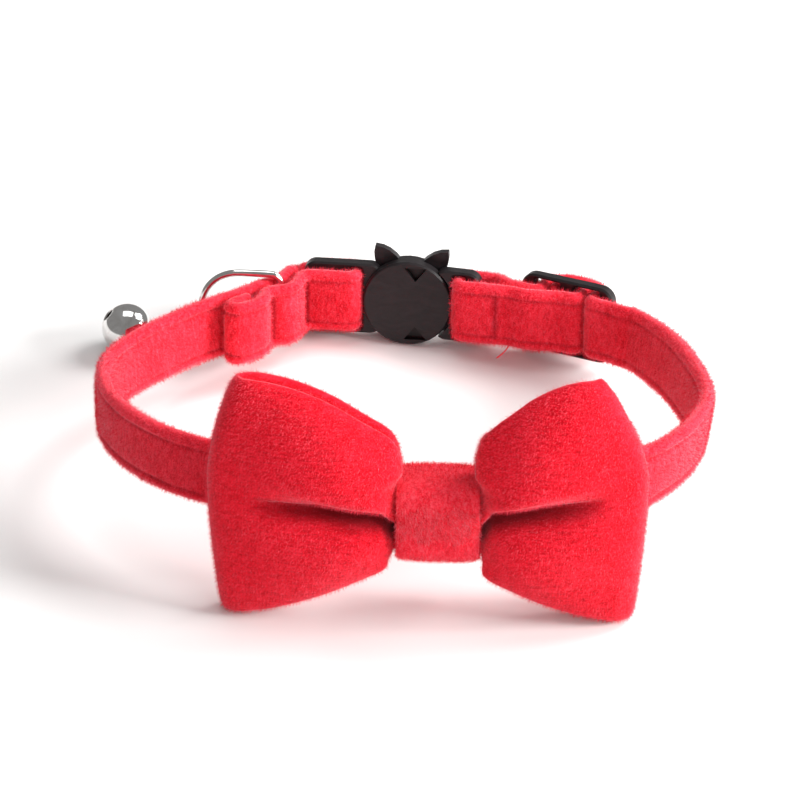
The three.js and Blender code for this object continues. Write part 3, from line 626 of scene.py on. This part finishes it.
def growPile(name, piece, keep, material, seed):
    shape = pileShape[name]
    density = shape["perSquareMm"] * 1e6
    wild = shape["wild"]
    base = skinOf(piece, keep)
    blade = makeBlade(name + "Blade", shape["length"] * mm, shape["width"] * mm, material)
    tree = bpy.data.node_groups.new(name + "Nodes", "GeometryNodeTree")
    tree.interface.new_socket("Geometry", in_out="INPUT", socket_type="NodeSocketGeometry")
    tree.interface.new_socket("Geometry", in_out="OUTPUT", socket_type="NodeSocketGeometry")

    def add(kind, **settings):
        node = tree.nodes.new(kind)
        for key, value in settings.items():
            setattr(node, key, value)
        return node

    outNode = add("NodeGroupOutput")
    baseInfo = add("GeometryNodeObjectInfo", transform_space="RELATIVE")
    baseInfo.inputs["Object"].default_value = base
    bladeInfo = add("GeometryNodeObjectInfo")
    bladeInfo.inputs["Object"].default_value = blade
    # fewer blades stand where the 'seam' attribute lays painted shade: in rows of stitches, upright seams and
    # along the bow's creases
    seam = add("GeometryNodeInputNamedAttribute", data_type="FLOAT")
    seam.inputs["Name"].default_value = "seam"
    thin = add("ShaderNodeMath", operation="MULTIPLY_ADD", use_clamp=False)
    tree.links.new(seam.outputs["Attribute"], thin.inputs[0])
    thin.inputs[1].default_value = -density
    thin.inputs[2].default_value = density
    spread = add("GeometryNodeDistributePointsOnFaces", distribute_method="RANDOM")
    tree.links.new(thin.outputs[0], spread.inputs["Density"])
    spread.inputs["Seed"].default_value = seed
    wildness = add("FunctionNodeRandomValue", data_type="FLOAT_VECTOR")
    wildness.inputs["Min"].default_value = (-wild, -wild, -wild)
    wildness.inputs["Max"].default_value = (wild, wild, wild)
    wildness.inputs["Seed"].default_value = seed + 1
    napWay = add("ShaderNodeVectorMath", operation="ADD")
    napWay.inputs[0].default_value = [c * shape["lie"] for c in shape["nap"]]
    tree.links.new(wildness.outputs["Value"], napWay.inputs[1])
    stand = add("ShaderNodeVectorMath", operation="ADD")
    tree.links.new(spread.outputs["Normal"], stand.inputs[0])
    tree.links.new(napWay.outputs["Vector"], stand.inputs[1])
    align = add("FunctionNodeAlignRotationToVector", axis="Z")
    tree.links.new(stand.outputs["Vector"], align.inputs["Vector"])
    spin = add("FunctionNodeRandomValue", data_type="FLOAT")
    spin.inputs[3].default_value = 2 * math.pi
    spinTurn = add("FunctionNodeAxisAngleToRotation")
    spinTurn.inputs["Axis"].default_value = (0, 0, 1)
    tree.links.new(spin.outputs[1], spinTurn.inputs["Angle"])
    turned = add("FunctionNodeRotateRotation", rotation_space="LOCAL")
    tree.links.new(align.outputs["Rotation"], turned.inputs["Rotation"])
    tree.links.new(spinTurn.outputs["Rotation"], turned.inputs["Rotate By"])
    scale = add("FunctionNodeRandomValue", data_type="FLOAT")
    scale.inputs[2].default_value, scale.inputs[3].default_value = bladeScale
    plant = add("GeometryNodeInstanceOnPoints")
    tree.links.new(baseInfo.outputs["Geometry"], spread.inputs["Mesh"])
    tree.links.new(spread.outputs["Points"], plant.inputs["Points"])
    tree.links.new(bladeInfo.outputs["Geometry"], plant.inputs["Instance"])
    tree.links.new(turned.outputs["Rotation"], plant.inputs["Rotation"])
    tree.links.new(scale.outputs[1], plant.inputs["Scale"])
    real = add("GeometryNodeRealizeInstances")
    tree.links.new(plant.outputs["Instances"], real.inputs["Geometry"])
    tree.links.new(real.outputs["Geometry"], outNode.inputs[0])
    pile = newPiece(name, bmesh.new(), material)
    pile.modifiers.new("grow", "NODES").node_group = tree
    applied(pile)
    if not pile.data.materials:
        pile.data.materials.append(material)
    bpy.data.objects.remove(blade)
    bpy.data.objects.remove(base)
    print(name, len(pile.data.polygons), "blades")
    return settle(pile, "velvet")


flatTurn = flatMatrix.to_3x3()


def outsideBow(at, normal):
    here = flatMatrix @ at
    facing = (flatTurn @ normal).y
    return facing * (here.y / mm - bowMiddle) > outerFace["inside"] or abs(facing) < outerFace["rim"]


def anywhere(at, normal):
    return True


def knotBand(at, normal):
    ragged = tuftBand["ragged"] * math.sin(tuftBand["raggedWave"] * at.x + 2)
    return tuftBand["low"] + ragged < at.z < tuftBand["high"] - ragged and normal.y < tuftBand["facing"]


growPile("bowPile", bow, outsideBow, napVelvet, seed=3)
growPile("strapPile", strap, anywhere, napVelvet, seed=5)
growPile("knotPile", knot, anywhere, knotVelvet, seed=7)
growPile("knotTufts", knot, knotBand, tuftVelvet, seed=9)


# buckle and slider
plasticShape = {"edge": 0.14, "segments": 2, "sharpFrom": 32, "roundFrom": 40}
# the disc's middle in the flat layout, and where the floors of its two recesses lie, which get painted shade
discShape = {"back": 67.8, "yaw": -4.5, "floor": -1.3, "floorSlack": 0.08, "radius": 6.9, "inner": 3.9}


def inRecess(at):
    shape = discShape
    here = (flatMatrix @ at) / mm - Vector((0, shape["back"], 0))
    here.rotate(Matrix.Rotation(-math.radians(shape["yaw"]), 3, "Z"))
    out = math.hypot(here.x, here.z)
    onFloor = abs(here.y - shape["floor"]) < shape["floorSlack"]
    return onFloor and out < shape["radius"] and abs(here.z) > shape["inner"]


def makePlastic(name, node):
    bm = copyOf(node, 3)
    bmesh.ops.dissolve_limit(bm, angle_limit=math.radians(2), verts=bm.verts, edges=bm.edges)
    bm.normal_update()
    sharpFrom = math.radians(plasticShape["sharpFrom"])
    for edge in bm.edges:
        edge.smooth = len(edge.link_faces) == 2 and edge.calc_face_angle(0) < sharpFrom
    # painted shade on the floors of the disc's two recesses
    paintedShade = bm.verts.layers.float.new("recess")
    for vert in bm.verts:
        vert[paintedShade] = 1.0 if inRecess(vert.co) else 0.0
    print(name, sum(vert[paintedShade] > 0.5 for vert in bm.verts), "recess corners")
    piece = newPiece(name, bm, blackPlastic)
    rounding = piece.modifiers.new("edges", "BEVEL")
    rounding.width = plasticShape["edge"] * mm
    rounding.segments = plasticShape["segments"]
    rounding.limit_method = "ANGLE"
    rounding.angle_limit = math.radians(plasticShape["roundFrom"])
    rounding.harden_normals = True
    return settle(piece, "black_plastic", node)


makePlastic("socketHalf", "buckle_socket")
makePlastic("plugHalf", "buckle_plug")
makePlastic("strapSlider", "slider")
print("buckle made")


# rings and bell
wireLevels = 3
# subdividing makes them thinner, and this grows them back
wireGrow = {"dRingWire": 0.12, "jumpRingWire": 0.1, "bellPellet": 0.0}


def makeWire(name, node):
    bm = copyOf(node)
    bm.normal_update()
    moved = [(vert, vert.normal.copy()) for vert in bm.verts]
    for vert, normal in moved:
        vert.co += normal * wireGrow[name] * mm
    piece = newPiece(name, bm, nickel)
    subdivided(piece, wireLevels)
    return settle(piece, "nickel", node)


makeWire("dRingWire", "d_ring")
makeWire("jumpRingWire", "jump_ring")
makeWire("bellPellet", "bell_pellet")

bellShape = {
    "radius": 4.25,
    "wall": 0.4,
    "slotWidth": 0.9,
    "slotLength": 5.27,
    "holeDiameter": 1.8,
    "loopRadius": 1.6,
    "loopWire": 0.4,
    "loopSunk": 0.2,
    "yaw": 182,
}


def makeBell():
    shape = bellShape
    low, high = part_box("bell")
    way = Vector((math.cos(math.radians(shape["yaw"])), math.sin(math.radians(shape["yaw"])), 0))
    centre = Vector((low.x, high.y, 0)) + Vector((shape["radius"], -shape["radius"], shape["radius"])) * mm
    bm = bmesh.new()
    bmesh.ops.create_uvsphere(bm, u_segments=64, v_segments=40, radius=shape["radius"] * mm)
    inner = bmesh.ops.create_uvsphere(bm, u_segments=48, v_segments=30,
                                      radius=(shape["radius"] - shape["wall"]) * mm)["verts"]
    innerFaces = list({face for vert in inner for face in vert.link_faces})
    bmesh.ops.reverse_faces(bm, faces=innerFaces)
    shell = newPiece("bellShell", bm, nickel)
    cut = bmesh.new()
    slotBox = bmesh.ops.create_cube(cut, size=1)["verts"]
    slotSize = Vector((shape["slotLength"], shape["slotWidth"], shape["radius"])) * mm
    bmesh.ops.scale(cut, vec=slotSize, verts=slotBox)
    bmesh.ops.translate(cut, vec=(0, 0, -shape["radius"] * mm), verts=slotBox)
    slotCutter = newPiece("slotCutter", cut, nickel)
    holes = bmesh.new()
    holeRadius = shape["holeDiameter"] / 2 * mm
    for side in (-1, 1):
        drill = bmesh.ops.create_cone(holes, cap_ends=True, segments=32, radius1=holeRadius,
                                      radius2=holeRadius, depth=shape["radius"] * mm)["verts"]
        bmesh.ops.translate(holes, vec=(side * shape["slotLength"] / 2 * mm, 0, -shape["radius"] * 0.9 * mm),
                            verts=drill)
    holeCutter = newPiece("holeCutter", holes, nickel)
    for cutter in (slotCutter, holeCutter):
        boolean = shell.modifiers.new("cut", "BOOLEAN")
        boolean.operation = "DIFFERENCE"
        boolean.object = cutter
        boolean.solver = "EXACT"
    applied(shell)
    bpy.data.objects.remove(slotCutter)
    bpy.data.objects.remove(holeCutter)
    bm = bmesh.new()
    bm.from_mesh(shell.data)
    ring = bmesh.new()
    circle = bmesh.ops.create_circle(ring, segments=16, radius=shape["loopWire"] * mm)["verts"]
    bmesh.ops.translate(ring, vec=(shape["loopRadius"] * mm, 0, 0), verts=circle)
    bmesh.ops.rotate(ring, cent=(0, 0, 0), matrix=Matrix.Rotation(math.pi / 2, 3, "X"), verts=ring.verts)
    bmesh.ops.spin(ring, geom=ring.verts[:] + ring.edges[:], cent=(0, 0, 0), axis=(0, 0, 1),
                   angle=2 * math.pi, steps=48, use_merge=True, use_duplicate=False)
    bmesh.ops.remove_doubles(ring, verts=ring.verts, dist=1e-6)
    bmesh.ops.recalc_face_normals(ring, faces=ring.faces)
    # the loop stands up from the bell's top, its hole facing along Y
    place = (Matrix.Translation((0, 0, (shape["radius"] + shape["loopRadius"] - shape["loopSunk"]) * mm))
             @ Matrix.Rotation(math.pi / 2, 4, "X"))
    bmesh.ops.transform(ring, matrix=place, verts=ring.verts)
    ringMesh = bpy.data.meshes.new("bellLoop")
    ring.to_mesh(ringMesh)
    ring.free()
    bm.from_mesh(ringMesh)
    turn = Matrix.Rotation(math.radians(shape["yaw"]), 4, "Z") @ Matrix.Rotation(-math.pi / 2, 4, "Y")
    bmesh.ops.transform(bm, matrix=Matrix.Translation(centre) @ turn, verts=bm.verts)
    bpy.data.objects.remove(shell)
    piece = newPiece("jingleBell", bm, nickel)
    return settle(piece, "nickel", "bell")


makeBell()
print("rings and bell made")


# a loose end of sewing thread under the strap, right of the buckle
looseThread = {
    "points": [(16.9, 61.6, -5.0), (16.7, 61.1, -5.7), (15.9, 60.7, -6.5), (14.9, 60.5, -7.1)],
    "radius": 0.11,
}


def makeThread():
    data = bpy.data.curves.new("looseThread", "CURVE")
    data.dimensions = "3D"
    data.bevel_depth = looseThread["radius"] * mm
    data.bevel_resolution = 3
    data.use_fill_caps = True
    spline = data.splines.new("NURBS")
    spline.points.add(len(looseThread["points"]) - 1)
    for point, at in zip(spline.points, looseThread["points"]):
        point.co = (*(leanMatrix @ (Vector(at) * mm)), 1)
    spline.use_endpoint_u = True
    spline.order_u = 4
    thread = bpy.data.objects.new("looseThread", data)
    bpy.context.collection.objects.link(thread)
    data.materials.append(strapVelvet)
    settle(thread, "velvet")


makeThread()


# floor
def makeFloor():
    bm = bmesh.new()
    bmesh.ops.create_grid(bm, x_segments=2, y_segments=2, size=studio["floorSize"] / 2)
    floor = newPiece("table", bm, floorMaterial(), smooth=False)


makeFloor()
